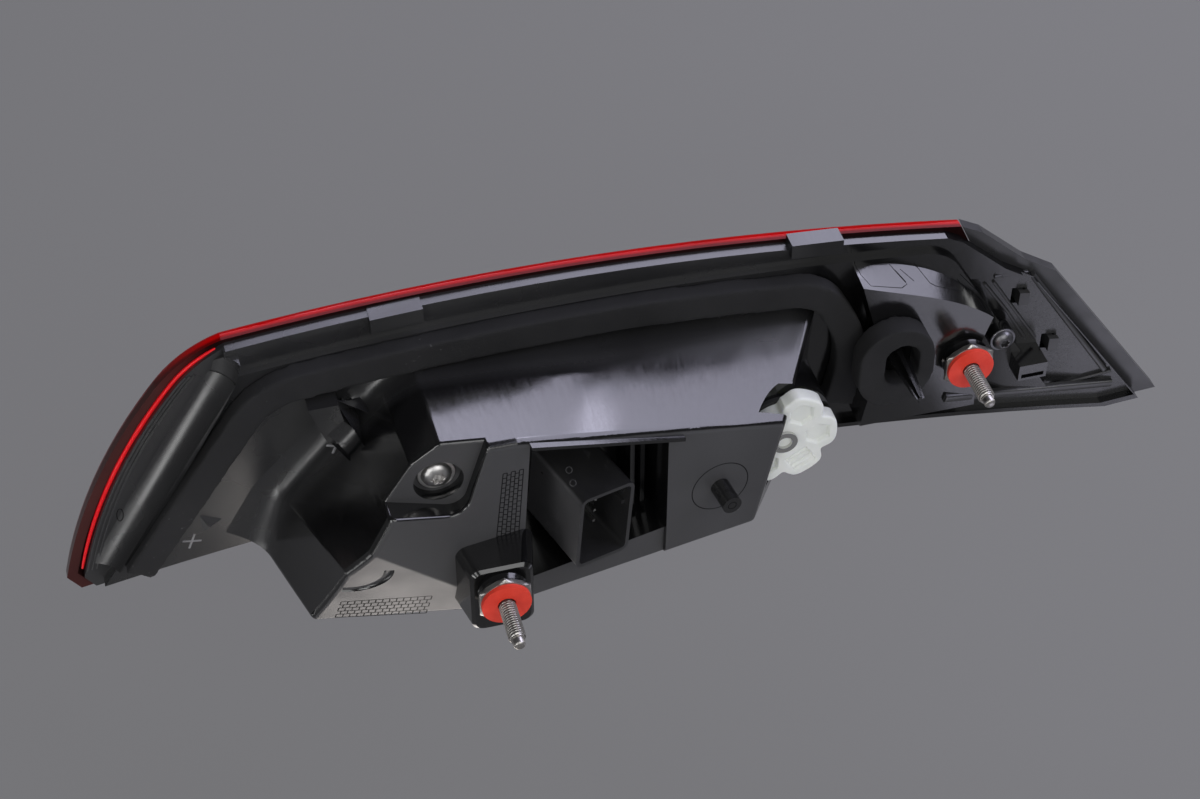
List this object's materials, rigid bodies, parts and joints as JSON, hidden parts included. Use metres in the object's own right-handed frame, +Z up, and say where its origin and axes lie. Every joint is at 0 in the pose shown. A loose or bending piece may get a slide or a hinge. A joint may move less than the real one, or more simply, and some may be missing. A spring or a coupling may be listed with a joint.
{
  "type": "car tail lamp",
  "caption": "Car tail lamp cluster with a red lens, black moulded housing, foam gasket, mounting studs, locating pin, connector socket and bulb holder.",
  "frame": {"origin": "axis of the outer stud at the face of its red seal, where the car's panel bears", "axes": "+X inboard along the lamp, -Y out of the mounting side along the studs, +Z up on the car"},
  "size_m": [0.401, 0.1045, 0.0987],
  "materials": {
    "housing_black": "glossy moulded plastic",
    "lens_red": "clear red moulded plastic",
    "trim_black": "satin moulded plastic",
    "foam": "closed-cell foam",
    "zinc_steel": "zinc plated",
    "seal_red": "satin rubber",
    "socket_black": "scuffed satin plastic",
    "tinned_pins": "tinned",
    "holder_nylon": "natural nylon",
    "seal_black": "satin rubber",
    "bulb_glass": "clear glass",
    "reflector": "mirror metallised",
    "bezel_grey": "metallised plastic",
    "light_plastic": "clear moulded plastic",
    "circuit_board": "satin board",
    "light_emitter": "satin ceramic package"
  },
  "bodies": {
    "root": {"housing": "housing_black", "outer_lens": "lens_red", "end_trim": "trim_black", "rail_clips": "trim_black", "body_gasket": "foam", "clip_gasket": "foam", "stud_outer": "zinc_steel", "stud_inner": "zinc_steel", "stud_seals": "seal_red", "housing_screw": "zinc_steel", "wing_screw": "zinc_steel", "connector_socket": "socket_black", "connector_pins": "tinned_pins", "bulb_holder": "holder_nylon", "holder_seal": "seal_black", "holder_contact": "tinned_pins", "bulb": "bulb_glass", "bulb_reflector": "reflector", "inner_bezel": "bezel_grey", "stop_diffuser": "light_plastic", "stop_led_board": "circuit_board", "stop_leds": "light_emitter", "board_screws": "zinc_steel", "tail_light_guide": "light_plastic", "tail_led_board": "circuit_board", "tail_led": "light_emitter"}
  },
  "joints": []
}
